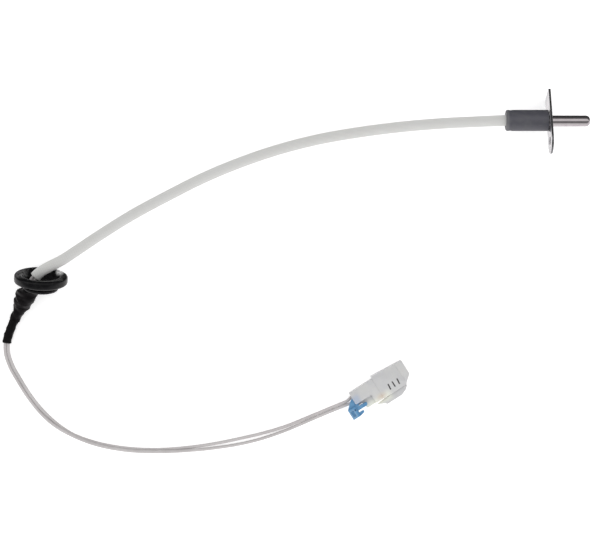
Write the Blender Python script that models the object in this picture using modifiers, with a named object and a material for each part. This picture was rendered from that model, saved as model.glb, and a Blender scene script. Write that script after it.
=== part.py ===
"""Sheathed sensor probe for a boiler burner, with its flange, boot, braided lead and plug.

The object lies on a table (z = 0). The probe points along +X and the origin is on the table,
under the middle of the probe head. Everything is in metres.
"""

import math

import bmesh
import bpy
from mathutils import Matrix, Vector

GAP = 0.0003  # the clearance that neighbouring pieces keep

# Probe head: its axis runs along +X at this Y and height.
AXIS_Y = 0.0005
AXIS_Z = 0.0128
SHEATH_RADIUS = 0.0030
SHEATH_WALL = 0.00035
SHEATH_TIP_X = 0.0229
SHEATH_REAR_X = -0.0080
TIP_ROUND = 0.0024

# Flange: a plate across the probe axis, turned about it, round at its screw end.
FLANGE_BACK_X = 0.0004
FLANGE_THICKNESS = 0.0012
FLANGE_TURN = math.radians(25)
FLANGE_HALF_WIDTH = 0.0070
FLANGE_SQUARE_END = 0.0164
FLANGE_CORNER_RADIUS = 0.0015
SCREW_HOLE_OFFSET = 0.0126
SCREW_HOLE_RADIUS = 0.00225

# Boot and the collar under its front end.
BOOT_RADIUS = 0.00575
BOOT_REAR_X = -0.0229
BOOT_BORE = 0.0049
BOOT_NECK_BORE = 0.0032
BOOT_NECK_X = -0.0195
BOOT_EDGE = 0.0011
COLLAR_REAR_X = -0.0050
COLLAR_RADIUS = 0.0040
COLLAR_SHOULDER = 0.0045
COLLAR_SHOULDER_LENGTH = 0.0015

# Parts inside the sheath.
INSULATOR_RADIUS = 0.0023
INSULATOR_FRONT_X = 0.0160
INSULATOR_REAR_X = -0.0088
INSULATOR_BORE = 0.00050
LEAD_SPREAD = 0.0010
LEAD_RADIUS = 0.00015
BEAD_CENTRE_X = 0.0184
BEAD_HALF_LENGTH = 0.0018
BEAD_RADIUS = 0.0016

# Crimp splices, side by side behind the sheath.
SPLICE_FRONT_X = -0.0115
SPLICE_REAR_X = -0.0165
SPLICE_RADIUS = 0.0015
SPLICE_SPREAD = 0.0018
SPLICE_WIRE_BORE = 0.0012
SPLICE_WIRE_DEPTH = 0.0030

# Braided sleeve and the two wires in it.
BRAID_RADIUS = 0.0029
BRAID_WALL = 0.0006
WIRE_RADIUS = 0.000875
WIRE_SPREAD = 0.0009
CABLE_STEP = 0.0068

# Centreline of the cable: x, y, z, then how far each wire lies from it, and how far the pair is
# twisted, in degrees. 0 is side by side and 90 is wire b above wire a.
PAIR = WIRE_SPREAD
BOOT_ROUTE = [
    (-0.0142, AXIS_Y, AXIS_Z, SPLICE_SPREAD, 0),
    (-0.0162, AXIS_Y, AXIS_Z, SPLICE_SPREAD, 0),
    (-0.0182, AXIS_Y, AXIS_Z, 0.0013, 0),
    (-0.0198, AXIS_Y, AXIS_Z, PAIR, 0),
    (-0.0225, AXIS_Y, AXIS_Z, PAIR, 0),
]
SLEEVED_ROUTE = [
    (-0.0260, 0.0004, 0.0127, PAIR, 0),
    (-0.0370, 0.0000, 0.0118, PAIR, 0),
    (-0.0585, -0.0008, 0.0083, PAIR, 0),
    (-0.0800, -0.0024, 0.0050, PAIR, 0),
    (-0.1020, -0.0051, 0.0034, PAIR, 0),
    (-0.1240, -0.0089, 0.0031, PAIR, 0),
    (-0.1450, -0.0142, 0.0031, PAIR, 0),
    (-0.1665, -0.0214, 0.0031, PAIR, 0),
    (-0.1870, -0.0299, 0.0031, PAIR, 0),
    (-0.2065, -0.0397, 0.0033, PAIR, 0),
    (-0.2260, -0.0503, 0.0045, PAIR, 0),
    (-0.2440, -0.0618, 0.0076, PAIR, 0),
    (-0.2620, -0.0742, 0.0118, PAIR, 0),
    (-0.2777, -0.0842, 0.0146, PAIR, 0),
]
NECK_ROUTE = [
    (-0.2802, -0.0875, 0.0138, PAIR, 0),
    (-0.2820, -0.0913, 0.0120, PAIR, 0),
    (-0.2848, -0.0967, 0.0085, PAIR, 0),
    (-0.2881, -0.1028, 0.0057, PAIR, 0),
    (-0.2922, -0.1110, 0.0037, PAIR, 0),
    (-0.2952, -0.1204, 0.0026, PAIR, 0),
]
FREE_ROUTE = [
    (-0.2952, -0.1262, 0.0018, PAIR, 0),
    (-0.2933, -0.1325, 0.0013, PAIR, 0),
    (-0.2886, -0.1412, 0.0011, PAIR, 0),
    (-0.2828, -0.1503, 0.0011, PAIR, 0),
    (-0.2755, -0.1592, 0.0011, PAIR, 5),
    (-0.2681, -0.1657, 0.0016, PAIR, 40),
    (-0.2601, -0.1706, 0.0019, PAIR, 70),
    (-0.2494, -0.1749, 0.0019, PAIR, 62),
    (-0.2316, -0.1787, 0.0018, PAIR, 52),
    (-0.2137, -0.1797, 0.0018, PAIR, 52),
    (-0.1959, -0.1788, 0.0014, PAIR, 25),
    (-0.1808, -0.1770, 0.0011, 0.0012, 0),
    (-0.1666, -0.1744, 0.0011, 0.0015, 0),
    (-0.1561, -0.1719, 0.0011, 0.0014, 0),
    (-0.1443, -0.1682, 0.0012, 0.0011, 0),
    (-0.1261, -0.1607, 0.0018, PAIR, 0),
    (-0.1150, -0.1560, 0.0027, PAIR, 0),
    (-0.1113, -0.1545, 0.0030, PAIR, 0),
]

# Grommet: a turned rubber body that leans back on its rim, with its cup towards the sleeve.
GROMMET_CENTRE = Vector((-0.2746, -0.0830, 0.0149))
GROMMET_AXIS = Vector((0.083, 0.950, 0.301)).normalized()
GROMMET_PROFILE = [  # radius, distance along the axis: out of the cup, over the rim, back
    (0.0000, -0.0030),
    (0.0080, -0.0030),
    (0.0098, -0.0010),
    (0.0104, -0.0003),
    (0.0113, 0.0000),
    (0.0132, 0.0000),
    (0.0141, -0.0004),
    (0.0145, -0.0012),
    (0.0145, -0.0033),
    (0.0141, -0.0040),
    (0.0133, -0.0043),
    (0.0076, -0.0043),
    (0.0076, -0.0064),
    (0.0090, -0.0064),
    (0.0095, -0.0068),
    (0.0095, -0.0078),
    (0.0084, -0.0089),
    (0.0000, -0.0089),
]
GROMMET_BORE = 0.0033

# Tape wrap: its radius at each station along the neck, as parts of its length.
TAPE_RADII = [
    (0.0, 0.0053),
    (0.2, 0.0054),
    (0.35, 0.0049),
    (0.5, 0.0041),
    (0.62, 0.0033),
    (0.8, 0.0028),
    (1.0, 0.0026),
]
TAPE_LENGTH = 0.0170
TAIL_RADIUS = 0.00240
NECK_BORE = 0.00205

# Connector, in its own frame: x from its rear face to its mating face, y to the left, z up.
PLUG_CORNER = Vector((-0.1078, -0.1479, 0.0))
PLUG_TURN = math.radians(32.4)
PLUG_LENGTH = 0.0338
PLUG_SIDE = -0.0126  # y of the latch side; the plain side is y = 0
REAR_HEIGHT = 0.0084
FRONT_HEIGHT = 0.0089
FRONT_STEP_X = 0.0149
POLE_Y = (-0.00262, -0.00658)
POLE_Z = 0.0032
CAVITY_HALF = 0.0017
MOUTH_FLOOR_X = 0.0245
MOUTH_Y = (-0.0079, -0.0007)
MOUTH_Z = (0.0012, 0.0076)
LOCK_POCKET_Z = 0.0054
LOCK_ROOF_Z = 0.0076
LOCK_ROOF_Y = -0.0072
LOCK_Z = (0.0057, 0.0073)
LOCK_BLOCK_Z = (0.0070, 0.0086)
LEVER_Z = (0.0016, 0.0068)
LEVER_PIVOT = (0.0200, -0.0129)
TERMINAL_REAR_X = 0.0020
TERMINAL_FRONT_X = 0.0242
TERMINAL_HALF = 0.0014
BARREL_RADIUS = 0.0014
BARREL_BORE = 0.00115
WIRE_END_X = 0.0050


def clear_scene():
    for item in list(bpy.data.objects):
        bpy.data.objects.remove(item, do_unlink=True)


def make_collection(name, hidden=False):
    collection = bpy.data.collections.new(name)
    bpy.context.scene.collection.children.link(collection)
    collection.hide_render = hidden
    return collection


def make_material(name, colour, roughness, metallic=0.0):
    material = bpy.data.materials.new(name)
    material.use_nodes = True
    shader = material.node_tree.nodes["Principled BSDF"]
    shader.inputs["Base Color"].default_value = (*colour, 1.0)
    shader.inputs["Roughness"].default_value = roughness
    shader.inputs["Metallic"].default_value = metallic
    return material


def add_object(name, data, material=None):
    """Puts new mesh or curve data in the object's collection, or in the cutters' without a material."""
    item = bpy.data.objects.new(name, data)
    if material:
        PARTS.objects.link(item)
        data.materials.append(material)
    else:
        CUTTERS.objects.link(item)
        item.hide_render = True
        item.display_type = "WIRE"
    return item


def mesh_object(name, build, material=None):
    """A mesh object whose bmesh is filled in by build."""
    mesh = bpy.data.meshes.new(name)
    work = bmesh.new()
    build(work)
    work.to_mesh(mesh)
    work.free()
    return add_object(name, mesh, material)


def as_mesh(curve_object, material=None):
    """Replaces a curve object by a mesh object of the same name, with its caps welded on."""
    bpy.context.view_layer.update()
    graph = bpy.context.evaluated_depsgraph_get()
    mesh = bpy.data.meshes.new_from_object(curve_object.evaluated_get(graph))
    name, place = curve_object.name, curve_object.matrix_world.copy()
    bpy.data.objects.remove(curve_object, do_unlink=True)
    work = bmesh.new()
    work.from_mesh(mesh)
    bmesh.ops.remove_doubles(work, verts=work.verts, dist=1e-6)
    bmesh.ops.recalc_face_normals(work, faces=work.faces)
    work.to_mesh(mesh)
    work.free()
    mesh.materials.clear()
    item = add_object(name, mesh, material)
    item.matrix_world = place
    return item


def combine(item, other, operation):
    """Cuts other from item, or joins it on, with an exact Boolean that stays on the object."""
    modifier = item.modifiers.new(other.name, "BOOLEAN")
    modifier.operation = operation
    modifier.solver = "EXACT"
    modifier.object = other


def cut(item, *cutters):
    for cutter in cutters:
        combine(item, cutter, "DIFFERENCE")


def join(item, *additions):
    for addition in additions:
        combine(item, addition, "UNION")


def block(name, low, high, material=None):
    """An upright box between two opposite corners."""
    size = [top - bottom for bottom, top in zip(low, high)]
    middle = [(top + bottom) / 2 for bottom, top in zip(low, high)]
    place = Matrix.Translation(middle) @ Matrix.Diagonal((*size, 1.0))

    def build(work):
        bmesh.ops.create_cube(work, size=1.0, matrix=place)

    return mesh_object(name, build, material)


def rod(name, radius, start, end, material=None, segments=24):
    """A solid cylinder from start to end."""
    start, end = Vector(start), Vector(end)
    axis = end - start
    place = Matrix.Translation((start + end) / 2) @ axis.to_track_quat("Z", "Y").to_matrix().to_4x4()

    def build(work):
        bmesh.ops.create_cone(
            work,
            cap_ends=True,
            segments=segments,
            radius1=radius,
            radius2=radius,
            depth=axis.length,
            matrix=place,
        )

    return mesh_object(name, build, material)


def turned(name, profile, place, material=None, closed=False, steps=32):
    """A profile of (radius, height) turned about local Z. It runs down the shape's outer side."""

    def build(work):
        points = [work.verts.new((radius, 0.0, height)) for radius, height in profile]
        ends = list(zip(points, points[1:]))
        if closed:
            ends.append((points[-1], points[0]))
        for pair in ends:
            work.edges.new(pair)

    item = mesh_object(name, build, material)
    screw = item.modifiers.new("turn", "SCREW")
    screw.steps = screw.render_steps = steps
    screw.use_merge_vertices = True
    screw.merge_threshold = 0.00001
    item.matrix_world = place
    return item


def prism(name, outline, low, high, material=None):
    """A flat outline of (x, y) points, filled and given a thickness from low to high."""
    data = bpy.data.curves.new(name, "CURVE")
    data.dimensions = "2D"
    data.fill_mode = "BOTH"
    data.extrude = (high - low) / 2
    spline = data.splines.new("POLY")
    spline.points.add(len(outline) - 1)
    for point, (x, y) in zip(spline.points, outline):
        point.co = (x, y, 0.0, 1.0)
    spline.use_cyclic_u = True
    item = add_object(name, data)
    item.location.z = (low + high) / 2
    return as_mesh(item, material)


def tube(name, points, radius, material=None, capped=True, sides=3, radii=None):
    """A round bar along a list of points; radii scale it point by point."""
    data = bpy.data.curves.new(name, "CURVE")
    data.dimensions = "3D"
    data.bevel_depth = radius
    data.bevel_resolution = sides
    data.use_fill_caps = capped
    spline = data.splines.new("POLY")
    spline.points.add(len(points) - 1)
    for index, (point, place) in enumerate(zip(spline.points, points)):
        point.co = (*place, 1.0)
        point.radius = radii[index] if radii else 1.0
    return add_object(name, data, material)


def arc(centre, radius, start, end, count):
    """Points of an arc from start to end degrees."""
    x, y = centre
    angles = [math.radians(start + (end - start) * step / count) for step in range(count + 1)]
    return [(x + radius * math.cos(a), y + radius * math.sin(a)) for a in angles]


def smooth(route, step, first=0, last=None):
    """Rows on a smooth curve through the route, no further apart than step, from its row first to last."""
    rows = [Vector(row) for row in route]
    lengths = [(b.xyz - a.xyz).length for a, b in zip(rows, rows[1:])]
    slopes = [(b - a) / length for a, b, length in zip(rows, rows[1:], lengths)]
    tangents = [slopes[0]]
    for before, after, left, right in zip(slopes, slopes[1:], lengths, lengths[1:]):
        tangents.append((before * right + after * left) / (left + right))
    tangents.append(slopes[-1])
    last = len(lengths) if last is None else last
    result = []
    for index in range(first, last):
        length = lengths[index]
        count = max(1, math.ceil(length / step))
        for part in range(count):
            t = part / count
            result.append(
                rows[index] * (1 + 2 * t) * (1 - t) ** 2
                + tangents[index] * length * t * (1 - t) ** 2
                + rows[index + 1] * t * t * (3 - 2 * t)
                - tangents[index + 1] * length * t * t * (1 - t)
            )
    return result + [rows[last]]


def plug_route():
    """The last rows of the cable's route, which fan the wires out into the plug's two poles."""
    middle = (POLE_Y[0] + POLE_Y[1]) / 2
    half = (POLE_Y[0] - POLE_Y[1]) / 2
    stations = [
        (-0.0028, 0.0003, 0.0010),
        (0.0, 0.0, half - 0.0001),
        (0.0012, 0.0, half),
        (WIRE_END_X, 0.0, half),
    ]
    rows = []
    for x, rise, spread in stations:
        place = PLUG @ Vector((x, middle + rise, POLE_Z))
        rows.append((*place, spread, 0))
    return rows


def wire_points(rows, side):
    """Points of one wire of the pair, on the given side of the route's rows."""
    points = []
    for index, row in enumerate(rows):
        before = rows[max(index - 1, 0)].xyz
        after = rows[min(index + 1, len(rows) - 1)].xyz
        along = (after - before).normalized()
        across = along.cross(Vector((0, 0, 1))).normalized()
        above = across.cross(along)
        twist = math.radians(row[4])
        offset = across * math.cos(twist) + above * math.sin(twist)
        points.append(row.xyz + offset * row[3] * side)
    return points


def make_sheath():
    radius, inner = SHEATH_RADIUS, SHEATH_RADIUS - SHEATH_WALL
    tip = arc((radius - TIP_ROUND, SHEATH_TIP_X - TIP_ROUND), TIP_ROUND, 90, 0, 5)
    floor = SHEATH_TIP_X - 3 * SHEATH_WALL
    profile = [(0.0, SHEATH_TIP_X), *tip, (radius, SHEATH_REAR_X), (inner, SHEATH_REAR_X)]
    profile += [(inner, floor - 0.0006), (inner * 0.6, floor), (0.0, floor)]
    turned("probe_sheath", profile, HEAD, STEEL, steps=28)


def make_sensor():
    def build(work):
        shape = Matrix.Diagonal((BEAD_RADIUS, BEAD_RADIUS, BEAD_HALF_LENGTH, 1.0))
        place = HEAD @ Matrix.Translation((0, 0, BEAD_CENTRE_X)) @ shape
        bmesh.ops.create_uvsphere(work, u_segments=12, v_segments=8, radius=1.0, matrix=place)

    mesh_object("sensor_bead", build, GLASS)
    insulator = rod(
        "ceramic_insulator",
        INSULATOR_RADIUS,
        (INSULATOR_REAR_X, AXIS_Y, AXIS_Z),
        (INSULATOR_FRONT_X, AXIS_Y, AXIS_Z),
        CERAMIC,
    )
    lead_front = BEAD_CENTRE_X - BEAD_HALF_LENGTH - GAP
    for letter, side in (("a", -1), ("b", 1)):
        y = AXIS_Y + side * LEAD_SPREAD
        ends = [(x, y, AXIS_Z) for x in (INSULATOR_REAR_X - 0.001, INSULATOR_FRONT_X + 0.001)]
        cut(insulator, rod(f"bore_{letter}", INSULATOR_BORE, *ends, segments=10))
        outer = AXIS_Y + side * SPLICE_SPREAD
        points = [
            (lead_front, y, AXIS_Z),
            (INSULATOR_REAR_X - 0.0002, y, AXIS_Z),
            (SPLICE_FRONT_X + 0.0004, outer, AXIS_Z),
            (SPLICE_FRONT_X - 0.0010, outer, AXIS_Z),
        ]
        tube(f"sensor_lead_{letter}", points, LEAD_RADIUS, TINNED, sides=2)


def make_splices():
    for letter, side in (("a", -1), ("b", 1)):
        place = HEAD @ Matrix.Translation((0, side * SPLICE_SPREAD, 0))
        lead_bore = INSULATOR_BORE
        step = SPLICE_REAR_X + SPLICE_WIRE_DEPTH
        crimp = SPLICE_RADIUS - 0.0002
        profile = [
            (lead_bore, SPLICE_FRONT_X),
            (SPLICE_RADIUS, SPLICE_FRONT_X),
            (SPLICE_RADIUS, SPLICE_FRONT_X - 0.0012),
            (crimp, SPLICE_FRONT_X - 0.0016),
            (crimp, SPLICE_FRONT_X - 0.0019),
            (SPLICE_RADIUS, SPLICE_FRONT_X - 0.0023),
            (SPLICE_RADIUS, SPLICE_REAR_X),
            (SPLICE_WIRE_BORE, SPLICE_REAR_X),
            (SPLICE_WIRE_BORE, step),
            (lead_bore, step),
        ]
        turned(f"crimp_splice_{letter}", profile, place, TINNED, closed=True, steps=16)


def make_flange():
    """The plate, square with small corners at one end and round about its screw hole at the other."""
    width, end, corner = FLANGE_HALF_WIDTH, -FLANGE_SQUARE_END, FLANGE_CORNER_RADIUS
    outline = arc((SCREW_HOLE_OFFSET, 0.0), width, -90, 90, 14)
    outline += arc((end + corner, width - corner), corner, 90, 180, 4)
    outline += arc((end + corner, corner - width), corner, 180, 270, 4)
    plate = prism("mounting_flange", outline, 0.0, FLANGE_THICKNESS, PLATE)
    plate.matrix_world = FLANGE @ Matrix.Translation((0, 0, FLANGE_THICKNESS / 2))
    tube_hole = rod("flange_tube_hole", SHEATH_RADIUS + GAP, (0, 0, -0.002), (0, 0, 0.003))
    screw_hole = rod(
        "flange_screw_hole",
        SCREW_HOLE_RADIUS,
        (SCREW_HOLE_OFFSET, 0, -0.002),
        (SCREW_HOLE_OFFSET, 0, 0.003),
    )
    for cutter in (tube_hole, screw_hole):
        cutter.matrix_world = FLANGE
    cut(plate, tube_hole, screw_hole)


def make_collar():
    front = FLANGE_BACK_X - GAP
    bore = SHEATH_RADIUS + GAP
    profile = [
        (bore, front),
        (COLLAR_SHOULDER, front),
        (COLLAR_SHOULDER, front - COLLAR_SHOULDER_LENGTH),
        (COLLAR_RADIUS, front - COLLAR_SHOULDER_LENGTH),
        (COLLAR_RADIUS, COLLAR_REAR_X + 0.0003),
        (COLLAR_RADIUS - 0.0003, COLLAR_REAR_X),
        (bore, COLLAR_REAR_X),
    ]
    turned("flange_collar", profile, HEAD, PLATE, closed=True, steps=24)


def make_boot():
    front = FLANGE_BACK_X - GAP
    rear_edge = arc((BOOT_RADIUS - BOOT_EDGE, BOOT_REAR_X + BOOT_EDGE), BOOT_EDGE, 0, -90, 4)
    profile = [
        (BOOT_BORE, front),
        (BOOT_RADIUS - 0.0003, front),
        (BOOT_RADIUS, front - 0.0003),
        *rear_edge,
        (BOOT_NECK_BORE, BOOT_REAR_X),
        (BOOT_NECK_BORE, BOOT_NECK_X),
        (BOOT_BORE, BOOT_NECK_X),
    ]
    turned("silicone_boot", profile, HEAD, SILICONE, closed=True)


def make_cable():
    """The braided sleeve, hollow over the wires, and the two wires from splices to terminals."""
    sleeved = smooth(CABLE_ROUTE, CABLE_STEP, SLEEVE_START, SLEEVE_END)
    sleeve = tube("braid_sleeve", [row.xyz for row in sleeved], BRAID_RADIUS, BRAID, capped=False)
    wall = sleeve.modifiers.new("wall", "SOLIDIFY")
    wall.thickness = BRAID_WALL
    wall.offset = -1.0
    rows = smooth(CABLE_ROUTE, CABLE_STEP)
    for letter, side in (("a", -1), ("b", 1)):
        tube(f"lead_wire_{letter}", wire_points(rows, side), WIRE_RADIUS, WIRE, sides=2)


def make_grommet():
    """The rubber body, bored along the cable, which runs through it at a slant."""
    place = Matrix.Translation(GROMMET_CENTRE) @ GROMMET_AXIS.to_track_quat("Z", "Y").to_matrix().to_4x4()
    body = turned("cable_grommet", GROMMET_PROFILE, place, RUBBER, steps=36)
    rows = smooth(CABLE_ROUTE, 0.004, SLEEVE_END - 1, SLEEVE_END + 3)
    bore = tube("grommet_bore", [row.xyz for row in rows], GROMMET_BORE)
    cut(body, as_mesh(bore))


def make_neck():
    """The lumpy tape wrap behind the grommet, and the thin sleeve that runs on over the wires."""
    rows = smooth(CABLE_ROUTE, 0.0012, SLEEVE_END, NECK_END)
    depths = [(GROMMET_CENTRE - row.xyz).dot(GROMMET_AXIS) for row in rows]
    back = -GROMMET_PROFILE[-1][1]
    first = next(i for i, depth in enumerate(depths) if depth > back + 0.0026)
    travelled = [0.0]
    for before, after in zip(rows[first:], rows[first + 1 :]):
        travelled.append(travelled[-1] + (after - before).xyz.length)
    last = next(i for i, length in enumerate(travelled) if length > TAPE_LENGTH)
    points = [row.xyz for row in rows[first : first + last + 1]]
    radii = [radius_at(TAPE_RADII, length / travelled[last]) for length in travelled[: last + 1]]
    channel_rows = smooth(CABLE_ROUTE, 0.003, SLEEVE_END, NECK_END + 1)
    channel_points = [row.xyz for row in channel_rows]
    wrap = as_mesh(tube("tape_wrap", points, 1.0, sides=4, radii=radii), TAPE)
    cut(wrap, as_mesh(tube("wrap_channel", channel_points, NECK_BORE)))
    tail_start = first + last + 1
    tail_points = [rows[index].xyz for index in range(tail_start, len(rows), 3)]
    tail = as_mesh(tube("shrink_tail", tail_points, TAIL_RADIUS), SHRINK)
    cut(tail, as_mesh(tube("tail_channel", channel_points, NECK_BORE)))


def radius_at(stations, part):
    """The radius at part of the way along, straight between the stations."""
    for (low, before), (high, after) in zip(stations, stations[1:]):
        if part <= high:
            return before + (after - before) * (part - low) / (high - low)
    return stations[-1][1]


def make_housing():
    """The plug's body: a rear part with the two wire cavities and a wider front with the mouth."""
    side, lower_rear, inset = PLUG_SIDE, -0.0086, 0.0002
    rear_outline = [
        (0.0, 0.0),
        (0.0, lower_rear),
        (0.0034, lower_rear),
        (0.0045, side + inset),
        (0.0160, side + inset),
        (0.0160, 0.0),
    ]
    front_outline = [
        (FRONT_STEP_X, side),
        (0.0294, side),
        (0.0297, -0.0119),
        (PLUG_LENGTH, -0.0085),
        (PLUG_LENGTH, 0.0),
        (FRONT_STEP_X, 0.0014),
    ]
    body = prism("connector_housing", rear_outline, inset, REAR_HEIGHT, NYLON)
    join(body, prism("housing_front", front_outline, 0.0, FRONT_HEIGHT))
    mouth = block("mouth", (MOUTH_FLOOR_X, MOUTH_Y[0], MOUTH_Z[0]), (0.0400, MOUTH_Y[1], MOUTH_Z[1]))
    cavities = [
        block(
            f"cavity_{letter}",
            (-0.002, y - CAVITY_HALF, POLE_Z - CAVITY_HALF),
            (MOUTH_FLOOR_X + 0.0005, y + CAVITY_HALF, POLE_Z + CAVITY_HALF),
        )
        for letter, y in zip("ab", POLE_Y)
    ]
    pockets = [
        block("tongue_pocket", (-0.001, -0.0080, LOCK_POCKET_Z), (0.0068, -0.0032, LOCK_ROOF_Z)),
        block("finger_pocket", (-0.001, side - 0.002, LOCK_POCKET_Z), (0.0100, LOCK_ROOF_Y, 0.010)),
    ]
    cut(body, mouth, *cavities, *pockets)
    in_plug(body)


def make_lock():
    """The blue lock: a flat comb with a tongue and two fingers, and a raised grip at its rear."""
    comb = [
        (-0.0055, -0.0078),
        (-0.0055, -0.0138),
        (-0.0010, -0.0138),
        (0.0012, -0.0133),
        (0.0019, -0.0128),
        (0.0019, -0.0119),
        (-0.0007, -0.0119),
        (-0.0006, -0.0108),
        (0.0049, -0.0108),
        (0.0056, -0.0103),
        (0.0056, -0.0091),
        (0.0011, -0.0091),
        (0.0011, -0.0076),
        (0.0024, -0.0075),
        (0.0024, -0.0036),
        (-0.0006, -0.0036),
        (-0.0016, -0.0042),
    ]
    lock = prism("secondary_lock", comb, *LOCK_Z, BLUE)
    grip = block("lock_grip", (-0.0054, -0.0137, LOCK_BLOCK_Z[0]), (-0.0011, -0.0078, LOCK_BLOCK_Z[1]))
    recess = block("lock_recess", (-0.0048, -0.0126, 0.0081), (-0.0029, -0.0090, 0.0100))
    pin_x, pin_y = -0.0018, -0.0096
    pin_hole = rod("lock_pin_hole", 0.0005, (pin_x, pin_y, 0.0076), (pin_x, pin_y, 0.0100), segments=10)
    join(lock, grip)
    cut(lock, recess, pin_hole)
    in_plug(lock)


def make_lever():
    """The latch lever: a press pad at its rear, a ramped hook at its front, a bridge between."""
    outline = [
        (0.0102, -0.0136),
        (0.0141, -0.0154),
        (0.0146, -0.0163),
        (0.0241, -0.0163),
        (0.0274, -0.0150),
        (0.0293, -0.0134),
        (0.0286, -0.0130),
        (0.0240, -0.0139),
        (0.0212, -0.0139),
        (0.0212, LEVER_PIVOT[1]),
        (0.0188, LEVER_PIVOT[1]),
        (0.0188, -0.0139),
        (0.0125, -0.0137),
    ]
    in_plug(prism("latch_lever", outline, *LEVER_Z, NYLON))


def make_terminals():
    """Each terminal: a crimp barrel round the wire's end, a neck, and a box that is open in front."""
    for letter, y in zip("ab", POLE_Y):
        box = block(
            f"terminal_{letter}",
            (0.0130, y - TERMINAL_HALF, POLE_Z - TERMINAL_HALF),
            (TERMINAL_FRONT_X, y + TERMINAL_HALF, POLE_Z + TERMINAL_HALF),
            BRASS,
        )
        neck = block(
            f"neck_{letter}", (0.0070, y - 0.0007, POLE_Z - 0.0012), (0.0140, y + 0.0007, POLE_Z + 0.0006)
        )
        barrel = rod(
            f"barrel_{letter}", BARREL_RADIUS, (TERMINAL_REAR_X, y, POLE_Z), (0.0080, y, POLE_Z), segments=16
        )
        bore_end = (WIRE_END_X + 0.0004, y, POLE_Z)
        bore = rod(f"barrel_bore_{letter}", BARREL_BORE, (0.0010, y, POLE_Z), bore_end, segments=16)
        slot = block(
            f"slot_{letter}", (0.0180, y - 0.0009, POLE_Z - 0.0009), (0.0250, y + 0.0009, POLE_Z + 0.0009)
        )
        join(box, neck, barrel)
        cut(box, bore, slot)
        in_plug(box)


def in_plug(item):
    """Moves an object made in the plug's frame, and all its cutters, to where the plug lies."""
    for helper in [modifier.object for modifier in item.modifiers if modifier.type == "BOOLEAN"]:
        helper.matrix_world = PLUG @ helper.matrix_world
    item.matrix_world = PLUG @ item.matrix_world


clear_scene()
PARTS = make_collection("flame_sensor_probe")
CUTTERS = make_collection("cutters", hidden=True)

STEEL = make_material("polished_steel", (0.70, 0.68, 0.68), 0.12, 1.0)
PLATE = make_material("bright_plate", (0.62, 0.62, 0.63), 0.22, 1.0)
TINNED = make_material("tinned_copper", (0.72, 0.72, 0.72), 0.30, 1.0)
BRASS = make_material("brass", (0.75, 0.50, 0.22), 0.30, 1.0)
GLASS = make_material("bead_glass", (0.30, 0.10, 0.05), 0.10)
CERAMIC = make_material("white_ceramic", (0.85, 0.83, 0.78), 0.45)
SILICONE = make_material("grey_silicone", (0.10, 0.10, 0.13), 0.55)
BRAID = make_material("white_glass_braid", (0.80, 0.80, 0.78), 0.75)
WIRE = make_material("pale_grey_insulation", (0.62, 0.60, 0.59), 0.45)
RUBBER = make_material("black_rubber", (0.015, 0.015, 0.016), 0.50)
TAPE = make_material("black_tape", (0.012, 0.012, 0.013), 0.40)
SHRINK = make_material("black_sleeve", (0.014, 0.014, 0.015), 0.60)
NYLON = make_material("white_nylon", (0.78, 0.78, 0.76), 0.35)
BLUE = make_material("blue_nylon", (0.05, 0.25, 0.62), 0.35)

# Local Z of HEAD runs along the probe axis, so a turned profile's heights are X positions.
HEAD = Matrix(((0, 0, 1, 0), (0, 1, 0, AXIS_Y), (-1, 0, 0, AXIS_Z), (0, 0, 0, 1)))
# Local X of FLANGE runs from the probe axis to the screw hole, and local Z along the probe axis.
FLANGE = Matrix(
    (
        (0, 0, 1, FLANGE_BACK_X),
        (-math.cos(FLANGE_TURN), -math.sin(FLANGE_TURN), 0, AXIS_Y),
        (math.sin(FLANGE_TURN), -math.cos(FLANGE_TURN), 0, AXIS_Z),
        (0, 0, 0, 1),
    )
)
PLUG = Matrix.Translation(PLUG_CORNER) @ Matrix.Rotation(PLUG_TURN, 4, "Z")
CABLE_ROUTE = BOOT_ROUTE + SLEEVED_ROUTE + NECK_ROUTE + FREE_ROUTE + plug_route()
SLEEVE_START = 3
SLEEVE_END = len(BOOT_ROUTE) + len(SLEEVED_ROUTE) - 1
NECK_END = SLEEVE_END + len(NECK_ROUTE)

make_sheath()
make_sensor()
make_splices()
make_flange()
make_collar()
make_boot()
make_cable()
make_grommet()
make_neck()
make_housing()
make_lock()
make_lever()
make_terminals()
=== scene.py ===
import math

import bmesh
import bpy
import numpy as np
from mathutils import Matrix, Vector


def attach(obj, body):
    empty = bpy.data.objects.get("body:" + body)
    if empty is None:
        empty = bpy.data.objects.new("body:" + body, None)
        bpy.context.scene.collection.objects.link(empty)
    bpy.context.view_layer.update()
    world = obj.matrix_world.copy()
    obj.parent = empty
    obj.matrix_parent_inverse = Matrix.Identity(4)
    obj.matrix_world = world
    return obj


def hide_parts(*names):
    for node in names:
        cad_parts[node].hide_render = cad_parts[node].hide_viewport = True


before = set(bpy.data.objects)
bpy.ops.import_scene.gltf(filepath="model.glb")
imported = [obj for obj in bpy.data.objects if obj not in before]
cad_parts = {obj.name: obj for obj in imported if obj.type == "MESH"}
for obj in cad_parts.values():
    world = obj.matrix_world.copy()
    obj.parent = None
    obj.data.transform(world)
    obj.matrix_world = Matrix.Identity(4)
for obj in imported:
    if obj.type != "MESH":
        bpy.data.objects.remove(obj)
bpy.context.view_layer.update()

ROOT = "harness"

# The probe's looks, in metres and in the CAD's own frame: fine surfaces for its pieces, their
# materials, the light, the table and the camera.

# Camera: straight above the table, with +Y up in the picture.
CAMERA_PLACE = (-0.134975, -0.085225, 0.950)
CAMERA_LENS = 104.0
SENSOR = 36.0

# Table and light.
FLOOR_HALF = 3.0
FLOOR_GLOW = 0.42
LIGHT_STRENGTHS = (1.50, 0.95)  # of the soft light from -Y and from +Y
SKY_COLOUR = (0.99, 0.99, 0.99, 1.0)
MIRRORED_TINT = (1.0, 0.975, 0.985)
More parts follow.
